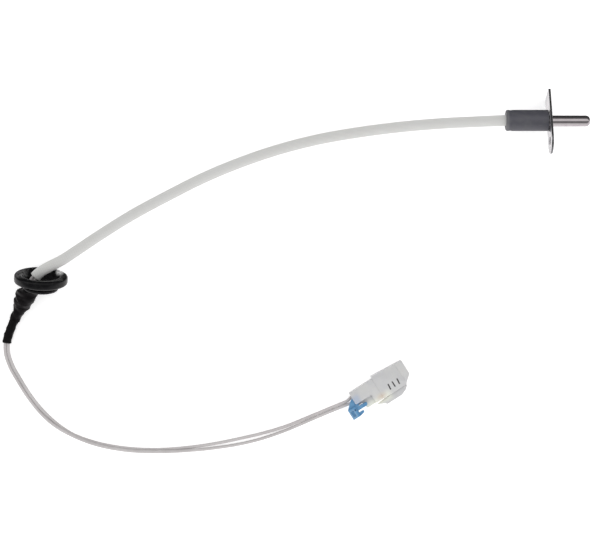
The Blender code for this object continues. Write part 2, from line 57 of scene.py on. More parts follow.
# Brightness of what shiny surfaces mirror, by the angle from straight up towards +Y.
MIRRORED = [
    (-180, 1.00),
    (-110, 1.00),
    (-72, 0.82),
    (-52, 0.50),
    (-38, 0.14),
    (-17, 0.14),
    (-8, 0.40),
    (5, 0.82),
    (30, 0.82),
    (48, 0.16),
    (80, 0.05),
    (148, 0.05),
    (166, 0.85),
    (180, 1.00),
]

# Probe head, on its axis along +X.
AXIS_Y, AXIS_Z = 0.0005, 0.0128
SHEATH_RADIUS, SHEATH_WALL = 0.0030, 0.00035
SHEATH_TIP_X, SHEATH_REAR_X = 0.0229, -0.0080
TIP_ROUND, TIP_WALL = 0.0024, 0.0010
TUBE_SAG = -0.0003  # the tube sits a little to one side in the flange's hole
FLANGE_BACK_X, FLANGE_THICKNESS = 0.0004, 0.0012
FLANGE_TURN = math.radians(25)
FLANGE_HALF_WIDTH, FLANGE_SQUARE_END = 0.0070, 0.0164
FLANGE_CORNER_RADIUS = 0.0015
SCREW_HOLE_OFFSET, SCREW_HOLE_RADIUS = 0.0126, 0.00225
FLANGE_EDGE = 0.00012
BOOT_RADIUS, BOOT_REAR_X, BOOT_FRONT_X = 0.00575, -0.0229, 0.0001
BOOT_BORE, BOOT_NECK_BORE, BOOT_NECK_X = 0.0049, 0.0032, -0.0195
BOOT_EDGE = 0.0011
BOOT_WAIST = [(0.0036, 0.0), (0.0030, 0.00008), (0.0024, 0.00022), (0.0018, 0.00008)]  # x, depth
BOOT_MOUTH = [(0.0, 0.0004), (0.0002, 0.0001), (0.0006, 0.0)]  # x, width past the neck's bore

# Cable: x, y, z, then the spread of the wires and the twist of the pair in degrees.
SPLICE_SPREAD = 0.0018
PAIR = 0.0009
BOOT_ROUTE = [
    (-0.0142, AXIS_Y, AXIS_Z, SPLICE_SPREAD, 0),
    (-0.0162, AXIS_Y, AXIS_Z, SPLICE_SPREAD, 0),
    (-0.0182, AXIS_Y, AXIS_Z, 0.0013, 0),
    (-0.0198, AXIS_Y, AXIS_Z, PAIR, 0),
    (-0.0225, AXIS_Y, AXIS_Z, PAIR, 0),
]
SLEEVED_ROUTE = [
    (-0.0260, 0.0004, 0.0127, PAIR, 0),
    (-0.0370, 0.0000, 0.0118, PAIR, 0),
    (-0.0585, -0.0008, 0.0083, PAIR, 0),
    (-0.0800, -0.0024, 0.0050, PAIR, 0),
    (-0.1020, -0.0051, 0.0034, PAIR, 0),
    (-0.1240, -0.0089, 0.0031, PAIR, 0),
    (-0.1450, -0.0142, 0.0031, PAIR, 0),
    (-0.1665, -0.0214, 0.0031, PAIR, 0),
    (-0.1870, -0.0299, 0.0031, PAIR, 0),
    (-0.2065, -0.0397, 0.0033, PAIR, 0),
    (-0.2260, -0.0503, 0.0045, PAIR, 0),
    (-0.2440, -0.0618, 0.0076, PAIR, 0),
    (-0.2620, -0.0742, 0.0118, PAIR, 0),
    (-0.2777, -0.0842, 0.0146, PAIR, 0),
]
NECK_ROUTE = [
    (-0.2802, -0.0875, 0.0138, PAIR, 0),
    (-0.2820, -0.0913, 0.0120, PAIR, 0),
    (-0.2848, -0.0967, 0.0085, PAIR, 0),
    (-0.2881, -0.1028, 0.0057, PAIR, 0),
    (-0.2922, -0.1110, 0.0037, PAIR, 0),
    (-0.2952, -0.1204, 0.0026, PAIR, 0),
]
FREE_ROUTE = [
    (-0.2952, -0.1262, 0.0018, PAIR, 0),
    (-0.2933, -0.1325, 0.0013, PAIR, 0),
    (-0.2886, -0.1412, 0.0011, PAIR, 0),
    (-0.2828, -0.1503, 0.0011, PAIR, 0),
    (-0.2755, -0.1592, 0.0011, PAIR, 5),
    (-0.2681, -0.1657, 0.0016, PAIR, 40),
    (-0.2601, -0.1706, 0.0019, PAIR, 70),
    (-0.2494, -0.1749, 0.0019, PAIR, 62),
    (-0.2316, -0.1787, 0.0018, PAIR, 52),
    (-0.2137, -0.1797, 0.0018, PAIR, 52),
    (-0.1959, -0.1788, 0.0014, PAIR, 25),
    (-0.1808, -0.1770, 0.0011, 0.0012, 0),
    (-0.1666, -0.1744, 0.0011, 0.0015, 0),
    (-0.1561, -0.1719, 0.0011, 0.0014, 0),
    (-0.1443, -0.1682, 0.0012, 0.0011, 0),
    (-0.1261, -0.1607, 0.0018, PAIR, 0),
    (-0.1150, -0.1560, 0.0027, PAIR, 0),
    (-0.1113, -0.1545, 0.0030, PAIR, 0),
]
BRAID_RADIUS = 0.0029
BRAID_SIDES, BRAID_STEP = 80, 0.00042
YARNS = 16  # yarns in each direction of the braid
BRAID_LEAD = 0.0217  # length in which a yarn goes once round
BRAID_LIFT = 0.00009  # how far a yarn stands out where it crosses over
# Rings of the braid's cut end: share of the radius, distance past the end and height of the yarns, which
# also sets the painted shade inside the end.
BRAID_END = [(0.93, 0.00012, 0.9), (0.84, 0.00008, 0.5), (0.80, -0.0006, 0.0), (0.78, -0.0024, 0.0)]
WIRE_RADIUS = 0.000875
WIRE_STEP, WIRE_SIDES = 0.0012, 20

# Grommet's radius and distance along its axis: out of the cup, over the rim, along the groove and
# round the second flange.
GROMMET_CENTRE = Vector((-0.2746, -0.0830, 0.0149))
GROMMET_AXIS = Vector((0.083, 0.950, 0.301)).normalized()
GROMMET_PROFILE = [
    (0.0000, -0.0030),
    (0.0080, -0.0030),
    (0.0098, -0.0010),
    (0.0104, -0.0003),
    (0.0113, 0.0000),
    (0.0132, 0.0000),
    (0.0141, -0.0004),
    (0.0145, -0.0012),
    (0.0145, -0.0036),
    (0.0142, -0.0044),
    (0.0135, -0.0049),
    (0.0076, -0.0049),
    (0.0076, -0.0066),
    (0.0090, -0.0066),
    (0.0096, -0.0070),
    (0.0096, -0.0080),
    (0.0086, -0.0089),
    (0.0000, -0.0089),
]
GROMMET_BORE = 0.0033
# Painted highlights on the grommet's rim: middle, half size and shade.
PAINTED_RIM_HIGHLIGHTS = [
    ((-0.2653, -0.0814), (0.0018, 0.0017), 0.85),
    ((-0.2858, -0.0820), (0.0030, 0.0026), 0.095),
]
RIM_HIGHLIGHT_EDGE = 0.0012

# Tape wrap and tail sleeve. The radii go with shares of the tape's free length.
TAPE_RADII = [
    (0.0, 0.0054),
    (0.2, 0.0054),
    (0.35, 0.0049),
    (0.5, 0.0041),
    (0.62, 0.0034),
    (0.8, 0.0029),
    (1.0, 0.0027),
]
TAPE_START, TAPE_FREE = 0.0002, 0.0026  # where it starts and comes free, behind the grommet's back
TAPE_LENGTH = 0.0170  # its free length
TAPE_SQUARING = 0.0070  # length in which its rings turn from the grommet's back to the cable
TAPE_PITCH = 0.0040  # length along the cable that one turn takes
TAPE_STEP = 0.00030  # how far a turn's edge stands out from the turn below
TAPE_RINGS, TAPE_SIDES = 140, 72
TAIL_RADIUS, TAIL_SIDES = 0.00240, 40
NECK_BORE = 0.00205
NECK_STEP = 0.0012

# Plug, in its own frame: x to its mating face, y to the left, z up.
PLUG_CORNER = Vector((-0.1078, -0.1479, 0.0))
PLUG_TURN = math.radians(32.4)
PLUG_LENGTH = 0.0338
PLUG_SIDE = -0.0126  # y of the latch side; the plain side is y = 0
REAR_HEIGHT, FRONT_HEIGHT = 0.0084, 0.0089
FRONT_STEP_X = 0.0149
PLUG_EDGE, MOVING_EDGE = 0.00022, 0.00018  # radii of the rounded edges
SCRIBED_DEPTH = 0.0001
POLE_Y = (-0.00262, -0.00658)
POLE_Z = 0.0032
CAVITY_HALF = 0.0017
MOUTH_FLOOR_X = 0.0245
MOUTH_Y, MOUTH_Z = (-0.0079, -0.0007), (0.0012, 0.0076)
LOCK_POCKET_Z = 0.0054
LOCK_ROOF_Y, LOCK_ROOF_Z = -0.0072, 0.0076
LOCK_Z, LOCK_BLOCK_Z = (0.0057, 0.0073), (0.0070, 0.0086)
RECESS_FLOOR_Z = 0.0079
PIN_HOLE, PIN_HOLE_RADIUS, PIN_HOLE_FLOOR_Z = (-0.0018, -0.0096), 0.0005, 0.0076
LEVER_Z = (0.0016, 0.0068)
WIRE_END_X = 0.0050
OUTSIDE_Z = 0.0100  # above every part of the plug
# Printed strokes: x and lean of each.
MARKS = [(0.0201, 0.0003), (0.0230, 0.0), (0.0258, 0.0003)]
MARK_WIDTH, MARK_HALF_THICKNESS = 0.0007, 0.00002
# Patches of painted light on the plug: middle, half size and softness of the edge.
LOCK_GLOW = ((0.0014, -0.0055), (0.0022, 0.0026), 0.0015)
PAINTED_POCKET_LIGHT = ((0.0110, -0.0124), (0.0085, 0.0024), 0.0020)
BRASS_GLOW = ((0.0143, -0.0108), (0.0022, 0.0008), 0.0022)
RECESS_RIM = ((-0.00385, -0.0108), (0.0015, 0.0023), 0.0003)
RECESS_MIDDLE = ((-0.00385, -0.0108), (0.0008, 0.0016), 0.0003)

PLUG = Matrix.Translation(PLUG_CORNER) @ Matrix.Rotation(PLUG_TURN, 4, "Z")
HEAD = Matrix(((0, 0, 1, 0), (0, 1, 0, AXIS_Y), (-1, 0, 0, AXIS_Z), (0, 0, 0, 1)))
FLANGE = Matrix(
    (
        (0, 0, 1, FLANGE_BACK_X),
        (-math.cos(FLANGE_TURN), -math.sin(FLANGE_TURN), 0, AXIS_Y),
        (math.sin(FLANGE_TURN), -math.cos(FLANGE_TURN), 0, AXIS_Z),
        (0, 0, 0, 1),
    )
)


# Materials

MIX_FACTOR, MIX_FIRST, MIX_SECOND, MIX_RESULT = 0, 6, 7, 2  # sockets of a Mix node for colours


class Finish:
    """A Principled material, built up node by node."""

    def __init__(self, name, colour, roughness, **sockets):
        self.material = bpy.data.materials.new(name)
        self.material.use_nodes = True
        self.nodes = self.material.node_tree.nodes
        self.links = self.material.node_tree.links
        self.shader = self.nodes["Principled BSDF"]
        self.colour = (*colour, 1.0)
        self.put("Base Color", self.colour)
        self.put("Roughness", roughness)
        for socket, value in sockets.items():
            self.put(socket.replace("_", " "), value)
        self.place = self.nodes.new("ShaderNodeTexCoord").outputs["Object"]

    def put(self, socket, value):
        """Sets a socket of the shader, or links it."""
        self.fill(self.shader.inputs[socket], value)

    def fill(self, socket, value):
        if isinstance(value, bpy.types.NodeSocket):
            self.links.new(value, socket)
        else:
            socket.default_value = value

    def node(self, kind, inputs, **settings):
        made = self.nodes.new(kind)
        for setting, value in settings.items():
            setattr(made, setting, value)
        for socket, value in inputs.items():
            self.fill(made.inputs[socket], value)
        return made

    def math(self, operation, first, second=0.0):
        return self.node("ShaderNodeMath", {0: first, 1: second}, operation=operation).outputs[0]

    def split(self, vector):
        """The outputs X, Y and Z of a vector."""
        return self.node("ShaderNodeSeparateXYZ", {0: vector}).outputs

    def stretched(self, scale):
        return self.node("ShaderNodeMapping", {"Vector": self.place, "Scale": scale}).outputs[0]

    def noise(self, scale, detail=2.0, vector=None):
        inputs = {"Vector": vector or self.place, "Scale": scale, "Detail": detail}
        return self.node("ShaderNodeTexNoise", inputs).outputs["Fac"]

    def ramp(self, value, low, high, start=0.0, end=1.0):
        """value, smoothly from start to end as it goes from low to high."""
        inputs = {"Value": value, "From Min": low, "From Max": high, "To Min": start, "To Max": end}
        return self.node("ShaderNodeMapRange", inputs, interpolation_type="SMOOTHSTEP").outputs[0]

    def blend(self, factor, first, second):
        """A colour between two colours, each a socket or three numbers."""
        inputs = {MIX_FACTOR: factor}
        for socket, colour in ((MIX_FIRST, first), (MIX_SECOND, second)):
            inputs[socket] = colour if isinstance(colour, bpy.types.NodeSocket) else (*colour[:3], 1.0)
        return self.node("ShaderNodeMix", inputs, data_type="RGBA").outputs[MIX_RESULT]

    def attribute(self, name):
        return self.node("ShaderNodeAttribute", {}, attribute_name=name).outputs["Fac"]

    def bump(self, height, strength, distance):
        inputs = {"Height": height, "Strength": strength, "Distance": distance}
        self.put("Normal", self.node("ShaderNodeBump", inputs).outputs["Normal"])

    def scatter(self, weight, scale, radius):
        """Light that goes a little way into the material."""
        self.put("Subsurface Weight", weight)
        self.put("Subsurface Scale", scale)
        self.put("Subsurface Radius", radius)

    def drift(self, value, low, high, other):
        """Base colour from the finish's own to another one, as value goes from low to high."""
        self.put("Base Color", self.blend(self.ramp(value, low, high), self.colour, other))

    def cloud(self, other, scale, low=0.35, high=0.65):
        """Base colour that drifts between the finish's own and another one."""
        self.drift(self.noise(scale, 3.0), low, high, other)


def polished_steel():
    finish = Finish("polished_steel", (0.62, 0.59, 0.60), 0.14, Metallic=1.0)
    lines = finish.noise(1.0, 3.0, finish.stretched((9000, 250, 250)))
    stain = finish.noise(260, 3.0)
    finish.drift(stain, 0.4, 0.7, (0.56, 0.52, 0.54))
    finish.put("Roughness", finish.ramp(lines, 0.3, 0.7, 0.10, 0.20))
    finish.bump(lines, 0.10, 0.00004)
    return finish.material


def bright_plate():
    finish = Finish("bright_plate", (0.80, 0.80, 0.81), 0.22, Metallic=1.0)
    grain = finish.noise(1.0, 3.0, finish.stretched((600, 500, 9000)))
    # Painted shade: the plate's rim, between its two faces, is darkened to stand in for the dark reflection
    # it shows.
    x = finish.split(finish.place)["X"]
    half = FLANGE_THICKNESS / 2
    depth = finish.math("ABSOLUTE", finish.math("SUBTRACT", x, FLANGE_BACK_X + half))
    edge = finish.ramp(depth, half - FLANGE_EDGE / 2, half - 2 * FLANGE_EDGE)
    finish.put("Base Color", finish.blend(edge, finish.colour, (0.20, 0.20, 0.21)))
    finish.put("Roughness", finish.ramp(grain, 0.3, 0.7, 0.18, 0.28))
    finish.bump(grain, 0.05, 0.00004)
    return finish.material


def tinned_copper():
    finish = Finish("tinned_copper", (0.72, 0.72, 0.72), 0.32, Metallic=1.0)
    finish.put("Roughness", finish.ramp(finish.noise(2500), 0.3, 0.7, 0.25, 0.40))
    return finish.material


def brass():
    finish = Finish("brass", (0.75, 0.50, 0.22), 0.30, Metallic=1.0)
    finish.cloud((0.62, 0.40, 0.18), 900)
    finish.put("Roughness", finish.ramp(finish.noise(3000), 0.3, 0.7, 0.22, 0.38))
    return finish.material


def bead_glass():
    finish = Finish("bead_glass", (0.30, 0.10, 0.05), 0.10)
    finish.cloud((0.20, 0.06, 0.03), 1500)
    return finish.material


def white_ceramic():
    finish = Finish("white_ceramic", (0.85, 0.83, 0.78), 0.45)
    finish.cloud((0.78, 0.76, 0.70), 800)
    finish.bump(finish.noise(6000, 3.0), 0.1, 0.00003)
    return finish.material


def grey_silicone():
    """Matt moulded silicone, lighter towards its rear lip, with a fine grain."""
    finish = Finish("grey_silicone", (0.062, 0.062, 0.080), 0.48, Specular_IOR_Level=0.80)
    x = finish.split(finish.place)["X"]
    dust = finish.ramp(finish.noise(420, 4.0), 0.42, 0.68)
    body = finish.blend(dust, finish.colour, (0.078, 0.078, 0.091))
    lip = finish.ramp(x, BOOT_REAR_X + 0.0021, BOOT_REAR_X + 0.0009)
    finish.put("Base Color", finish.blend(lip, body, (0.118, 0.117, 0.130)))
    finish.put("Roughness", finish.ramp(dust, 0.0, 1.0, 0.44, 0.60))
    finish.bump(finish.noise(7000, 3.0), 0.12, 0.00005)
    return finish.material


def glass_braid():
    """White glass yarn: painted shade between the yarns and inside the cut end, with fine fibres along it.
    """
    finish = Finish("white_glass_braid", (0.69, 0.69, 0.68), 0.72, Sheen_Weight=0.15)
    crest = finish.attribute("crest")
    fibres = finish.noise(5200, 3.0)
    patch = finish.ramp(finish.noise(90, 2.0), 0.35, 0.65)
    yarn = finish.blend(finish.ramp(fibres, 0.3, 0.7), (0.63, 0.63, 0.615), finish.colour)
    yarn = finish.blend(finish.math("MULTIPLY", patch, 0.5), yarn, (0.645, 0.64, 0.62))
    # Painted shade: where the yarns sink, the colour goes darker.
    finish.put("Base Color", finish.blend(finish.ramp(crest, 0.10, 0.80), (0.42, 0.42, 0.41), yarn))
    finish.bump(fibres, 0.25, 0.00006)
    return finish.material


def wire_insulation():
    finish = Finish("pale_grey_insulation", (0.57, 0.545, 0.545), 0.42)
    streak = finish.noise(150, 3.0)
    finish.drift(streak, 0.35, 0.65, (0.525, 0.50, 0.50))
    finish.put("Roughness", finish.ramp(finish.noise(1800), 0.3, 0.7, 0.36, 0.50))
    finish.bump(finish.noise(3500, 2.0), 0.06, 0.00004)
    return finish.material


def black_rubber():
    """Moulded rubber with a faint bloom, and painted highlights on the rim."""
    finish = Finish("black_rubber", (0.0035, 0.0035, 0.0042), 0.20, Specular_IOR_Level=0.28)
    bloom = finish.ramp(finish.noise(260, 4.0), 0.40, 0.70)
    place = finish.split(finish.place)
    highlight_breakup = finish.ramp(finish.noise(700, 4.0), 0.25, 0.60)
    colour = finish.blend(bloom, finish.colour, (0.0075, 0.0075, 0.0080))
    # Painted highlights: soft patches on the rim, lightened towards the listed grey and broken up by noise.
    for centre, size, shade in PAINTED_RIM_HIGHLIGHTS:
        spot = finish.math("MULTIPLY", soft_spot(finish, place, centre, size, RIM_HIGHLIGHT_EDGE), highlight_breakup)
        colour = finish.blend(spot, colour, (shade, shade, shade))
    finish.put("Base Color", colour)
    finish.put("Roughness", finish.ramp(bloom, 0.0, 1.0, 0.16, 0.30))
    finish.bump(finish.noise(2600, 4.0), 0.16, 0.00008)
    return finish.material


def black_tape():
    """Wound tape: shiny where it is stretched, with small wrinkles."""
    finish = Finish("black_tape", (0.0032, 0.0025, 0.0030), 0.34, Specular_IOR_Level=0.12)
    wrinkle = finish.noise(900, 5.0)
    finish.drift(wrinkle, 0.45, 0.75, (0.009, 0.0075, 0.0085))
    finish.put("Roughness", finish.ramp(wrinkle, 0.3, 0.7, 0.30, 0.52))
    finish.bump(wrinkle, 0.45, 0.00018)
    return finish.material


def black_sleeve():
    finish = Finish("black_sleeve", (0.0040, 0.0035, 0.0037), 0.48, Specular_IOR_Level=0.10)
    ripple = finish.noise(1100, 4.0)
    finish.drift(ripple, 0.45, 0.75, (0.009, 0.008, 0.008))
    finish.put("Roughness", finish.ramp(ripple, 0.3, 0.7, 0.42, 0.62))
    finish.bump(ripple, 0.4, 0.00014)
    return finish.material


def plug_local(finish):
    """X, Y and Z of a place on the plug, in the plug's own frame."""
    inputs = {"Vector": finish.place, "Location": PLUG_CORNER, "Rotation": (0.0, 0.0, PLUG_TURN)}
    local = finish.node("ShaderNodeMapping", inputs, vector_type="TEXTURE").outputs[0]
    return finish.split(local)


def soft_spot(finish, local, centre, size, edge):
    """1 inside a soft-edged box, seen from above, and 0 outside it."""
    shares = []
    for axis, middle, half in zip("XY", centre, size):
        away = finish.math("ABSOLUTE", finish.math("SUBTRACT", local[axis], middle))
        shares.append(finish.ramp(away, half + edge, half - edge))
    return finish.math("MULTIPLY", *shares)


def white_nylon():
    """Milky nylon, with painted glows where the blue lock and the brass show through it, and painted light
    along the latch side.
    """
    finish = Finish("white_nylon", (0.60, 0.60, 0.61), 0.36)
    finish.scatter(0.25, 0.0012, (1.0, 0.95, 0.9))
    local = plug_local(finish)
    milk = finish.ramp(finish.noise(170, 3.0), 0.35, 0.65)
    colour = finish.blend(milk, finish.colour, (0.635, 0.635, 0.630))
    # Painted glow: a blue tint where the lock lies under the roof.
    blue = soft_spot(finish, local, *LOCK_GLOW)
    colour = finish.blend(finish.math("MULTIPLY", blue, 0.55), colour, (0.36, 0.47, 0.66))
    # Painted light: the shaded finger pocket and the latch side are lightened to a pale yellowish white.
    pocket_light = soft_spot(finish, local, *PAINTED_POCKET_LIGHT)
    colour = finish.blend(pocket_light, colour, (0.80, 0.81, 0.74))
    # Painted glow: a brass tint where a terminal lies under the wall.
    gold = soft_spot(finish, local, *BRASS_GLOW)
    colour = finish.blend(finish.math("MULTIPLY", gold, 0.8), colour, (0.60, 0.46, 0.36))
    finish.put("Base Color", colour)
    finish.put("Roughness", finish.ramp(finish.noise(1400, 3.0), 0.3, 0.7, 0.30, 0.44))
    finish.bump(finish.noise(2600, 3.0), 0.06, 0.00005)
    return finish.material


def blue_nylon():
    """Slightly clear nylon, with a painted highlight round the recess in the grip."""
    finish = Finish("blue_nylon", (0.095, 0.270, 0.500), 0.34)
    finish.scatter(0.12, 0.0008, (0.8, 0.9, 1.0))
    local = plug_local(finish)
    drift = finish.ramp(finish.noise(500, 3.0), 0.35, 0.65)
    colour = finish.blend(drift, finish.colour, (0.130, 0.325, 0.550))
    # Painted highlight: a pale ring round the recess's edges.
    ring = soft_spot(finish, local, *RECESS_RIM)
    ring = finish.math("SUBTRACT", ring, soft_spot(finish, local, *RECESS_MIDDLE))
    colour = finish.blend(finish.math("MULTIPLY", ring, 0.6), colour, (0.30, 0.48, 0.66))
    finish.put("Base Color", colour)
    finish.put("Roughness", finish.ramp(finish.noise(1500, 3.0), 0.3, 0.7, 0.28, 0.42))
    finish.bump(finish.noise(2600, 3.0), 0.08, 0.00005)
    return finish.material


def faded_ink():
    finish = Finish("faded_ink", (0.040, 0.036, 0.038), 0.6)
    finish.cloud((0.16, 0.15, 0.15), 2600, 0.45, 0.75)
    return finish.material


def pale_floor():
    finish = Finish("pale_floor", (0.93, 0.93, 0.93), 0.9, Specular_IOR_Level=0.1)
    finish.cloud((0.935, 0.935, 0.935), 30)
    finish.put("Emission Color", (1.0, 1.0, 1.0, 1.0))
    finish.put("Emission Strength", FLOOR_GLOW)
    return finish.material


# Meshes


def shown(name, mesh, material, replaces=(), body=ROOT, slot=None, smooth_angle=40):
    """Makes a finished piece from mesh data, riding on a CAD body in place of some CAD nodes."""
    for polygon in mesh.polygons:
        polygon.use_smooth = True
    mesh.set_sharp_from_angle(angle=math.radians(smooth_angle))
    mesh.materials.clear()
    mesh.materials.append(material)
    piece = bpy.data.objects.new(name, mesh)
    bpy.context.scene.collection.objects.link(piece)
    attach(piece, body)
    if replaces:
        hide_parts(*replaces)
    return piece


def mesh_of(name, work):
    """A new mesh of what a bmesh holds. The bmesh is freed."""
    mesh = bpy.data.meshes.new(name)
    work.to_mesh(mesh)
    work.free()
    return mesh


def mesh_from(name, points, faces):
    mesh = bpy.data.meshes.new(name)
    mesh.from_pydata([tuple(point) for point in points], [], faces)
    mesh.update()
    return mesh


def evaluated(name, item):
    """The mesh of an object with its modifiers applied and its place in its vertices."""
    bpy.context.view_layer.update()
    graph = bpy.context.evaluated_depsgraph_get()
    mesh = bpy.data.meshes.new_from_object(item.evaluated_get(graph))
    mesh.transform(item.matrix_world)
    mesh.name = name
    return mesh


def helper(name, mesh):
    """An object that only carries modifiers, and is removed again."""
    item = bpy.data.objects.new(name, mesh)
    bpy.context.scene.collection.objects.link(item)
    return item


def combined(name, base, unions=(), cuts=()):
    """One mesh from others, with exact Booleans: unions first, then cuts."""
    item = helper(name, base)
    tools = []
    for operation, meshes in (("UNION", unions), ("DIFFERENCE", cuts)):
        for mesh in meshes:
            tool = helper("tool", mesh)
            modifier = item.modifiers.new(operation, "BOOLEAN")
            modifier.operation, modifier.solver, modifier.object = operation, "EXACT", tool
            tools.append(tool)
    mesh = evaluated(name, item)
    for each in (item, *tools):
        bpy.data.objects.remove(each, do_unlink=True)
    return mesh


def rounded(name, mesh, width, segments=3, angle=28):
    """The mesh with its edges rounded off."""
    work = bmesh.new()
    work.from_mesh(mesh)
    bmesh.ops.remove_doubles(work, verts=work.verts, dist=2e-6)
    work.to_mesh(mesh)
    work.free()
    item = helper(name, mesh)
    bevel = item.modifiers.new("bevel", "BEVEL")
    bevel.width, bevel.segments, bevel.angle_limit = width, segments, math.radians(angle)
    bevel.limit_method, bevel.use_clamp_overlap, bevel.harden_normals = "ANGLE", True, True
    result = evaluated(name, item)
    bpy.data.objects.remove(item, do_unlink=True)
    return result


def arc(centre, radius, start, end, count):
    """Points round a centre, from one angle to another in degrees."""
    x, y = centre
    angles = [math.radians(start + (end - start) * step / count) for step in range(count + 1)]
    return [(x + radius * math.cos(a), y + radius * math.sin(a)) for a in angles]


def softened(profile, times=2, share=0.25):
    """A profile with its corners cut off again and again, ends kept."""
    for _ in range(times):
        result = [profile[0]]
        for (r0, h0), (r1, h1) in zip(profile, profile[1:]):
            result.append((r0 + (r1 - r0) * share, h0 + (h1 - h0) * share))
            result.append((r1 - (r1 - r0) * share, h1 - (h1 - h0) * share))
        profile = result + [profile[-1]]
    return profile


def lathe(name, profile, place, steps=96):
    """A closed surface from a profile of (radius, height) turned about local Z."""
    work = bmesh.new()
    verts = [work.verts.new((radius, 0.0, height)) for radius, height in profile]
    edges = [work.edges.new(pair) for pair in zip(verts, verts[1:])]
    bmesh.ops.spin(
        work,
        geom=verts + edges,
        angle=math.tau,
        steps=steps,
        axis=(0, 0, 1),
        cent=(0, 0, 0),
        use_merge=True,
    )
    bmesh.ops.remove_doubles(work, verts=work.verts, dist=1e-6)
    bmesh.ops.recalc_face_normals(work, faces=work.faces)
    mesh = mesh_of(name, work)
    mesh.transform(place)
    return mesh


def prism(outline, low, high):
    """A flat outline of (x, y) points with a thickness from low to high."""
    work = bmesh.new()
    lower = [work.verts.new((x, y, low)) for x, y in outline]
    upper = [work.verts.new((x, y, high)) for x, y in outline]
    work.faces.new(lower[::-1])
    work.faces.new(upper)
    for index in range(len(outline)):
        after = (index + 1) % len(outline)
        work.faces.new((lower[index], lower[after], upper[after], upper[index]))
    bmesh.ops.recalc_face_normals(work, faces=work.faces)
    return mesh_of("prism", work)


def block(low, high):
    (x0, y0, z0), (x1, y1, z1) = low, high
    return prism([(x0, y0), (x1, y0), (x1, y1), (x0, y1)], z0, z1)


def disc(centre, radius, low, high, count):
    """A round bar along z, with count sides."""
    return prism(arc(centre, radius, 0, 360 - 360 / count, count - 1), low, high)


def ring_faces(first, rings, sides):
    """Faces between rings of points that follow each other from the point numbered first."""
    faces = []
    for ring in range(rings - 1):
        start = first + ring * sides
        after = start + sides
        for side in range(sides):
            beside = (side + 1) % sides
            faces.append((start + side, start + beside, after + beside, after + side))
    return faces


def sweep(name, points, radius, sides, closed=True, along=None):
    """A tube along points. radius(index, angles) gives a ring's radii; along, the rings' axes."""
    points = np.array([tuple(point) for point in points], float)
    along = np.gradient(points, axis=0) if along is None else along.copy()
    along /= np.linalg.norm(along, axis=1)[:, None]
    across = np.cross(along[0], (0.0, 0.0, 1.0))
    angles = np.arange(sides) * math.tau / sides
    rings = []
    for index, (point, direction) in enumerate(zip(points, along)):
        across = across - direction * (across @ direction)
        across /= np.linalg.norm(across)
        above = np.cross(across, direction)
        size = np.broadcast_to(radius(index, angles), angles.shape)[:, None]
        outward = np.cos(angles)[:, None] * across + np.sin(angles)[:, None] * above
        rings.append(point + size * outward)
    flat = np.concatenate(rings)
    faces = ring_faces(0, len(points), sides)
    if closed:
        faces.append(tuple(range(sides))[::-1])
        faces.append(tuple(range(len(flat) - sides, len(flat))))
    mesh = mesh_from(name, flat, faces)
    work = bmesh.new()
    work.from_mesh(mesh)
    bmesh.ops.recalc_face_normals(work, faces=work.faces)
    work.to_mesh(mesh)
    work.free()
    return mesh


def smooth(route, step, first=0, last=None):
    """Rows on a smooth curve through the route, no further apart than step, from its row first to last."""
    rows = [Vector(row) for row in route]
    lengths = [(b.xyz - a.xyz).length for a, b in zip(rows, rows[1:])]
    slopes = [(b - a) / length for a, b, length in zip(rows, rows[1:], lengths)]
    tangents = [slopes[0]]
    for before, after, left, right in zip(slopes, slopes[1:], lengths, lengths[1:]):
        tangents.append((before * right + after * left) / (left + right))
    tangents.append(slopes[-1])
    last = len(lengths) if last is None else last
    result = []
    for index in range(first, last):
        length = lengths[index]
        count = max(1, math.ceil(length / step))
        for part in range(count):
            t = part / count
            result.append(
                rows[index] * (1 + 2 * t) * (1 - t) ** 2
                + tangents[index] * length * t * (1 - t) ** 2
                + rows[index + 1] * t * t * (3 - 2 * t)
                - tangents[index + 1] * length * t * t * (1 - t)
            )
    return result + [rows[last]]


def plug_route():
    """The last rows of the cable's route, which fan the wires out into the plug's two poles."""
    middle = (POLE_Y[0] + POLE_Y[1]) / 2
    half = (POLE_Y[0] - POLE_Y[1]) / 2
    stations = [
        (-0.0028, 0.0003, 0.0010),
        (0.0, 0.0, half - 0.0001),
        (0.0012, 0.0, half),
        (WIRE_END_X, 0.0, half),
    ]
    rows = []
    for x, rise, spread in stations:
        place = PLUG @ Vector((x, middle + rise, POLE_Z))
        rows.append((*place, spread, 0))
    return rows


def wire_points(rows, side):
    """Points of one wire of the pair, on the given side of the route's rows."""
    points = []
    for index, row in enumerate(rows):
        before = rows[max(index - 1, 0)].xyz
        after = rows[min(index + 1, len(rows) - 1)].xyz
        along = (after - before).normalized()
        across = along.cross(Vector((0, 0, 1))).normalized()
        above = across.cross(along)
        twist = math.radians(row[4])
        offset = across * math.cos(twist) + above * math.sin(twist)
        points.append(row.xyz + offset * row[3] * side)
    return points


def distances(points):
    """The distance along a line of points to each of them."""
    return np.concatenate([[0.0], np.cumsum([(b - a).length for a, b in zip(points, points[1:])])])


CABLE_ROUTE = BOOT_ROUTE + SLEEVED_ROUTE + NECK_ROUTE + FREE_ROUTE + plug_route()
SLEEVE_START = 3
SLEEVE_END = len(BOOT_ROUTE) + len(SLEEVED_ROUTE) - 1
NECK_END = SLEEVE_END + len(NECK_ROUTE)


# Cords


def yarn_height(turn, run):
    """How high the yarns stand, 0 to 1, at a turn round the sleeve and a run along it."""
    first, second = YARNS * (turn + run), YARNS * (turn - run)
    parity = (-1) ** (np.floor(first) + np.floor(second))
    over = 0.5 + 0.5 * np.abs(np.sin(np.pi * second)) * parity
    under = 0.5 - 0.5 * np.abs(np.sin(np.pi * first)) * parity
    one_set = np.sqrt(np.abs(np.sin(np.pi * first))) * over
    other_set = np.sqrt(np.abs(np.sin(np.pi * second))) * under
    return np.maximum(one_set, other_set)


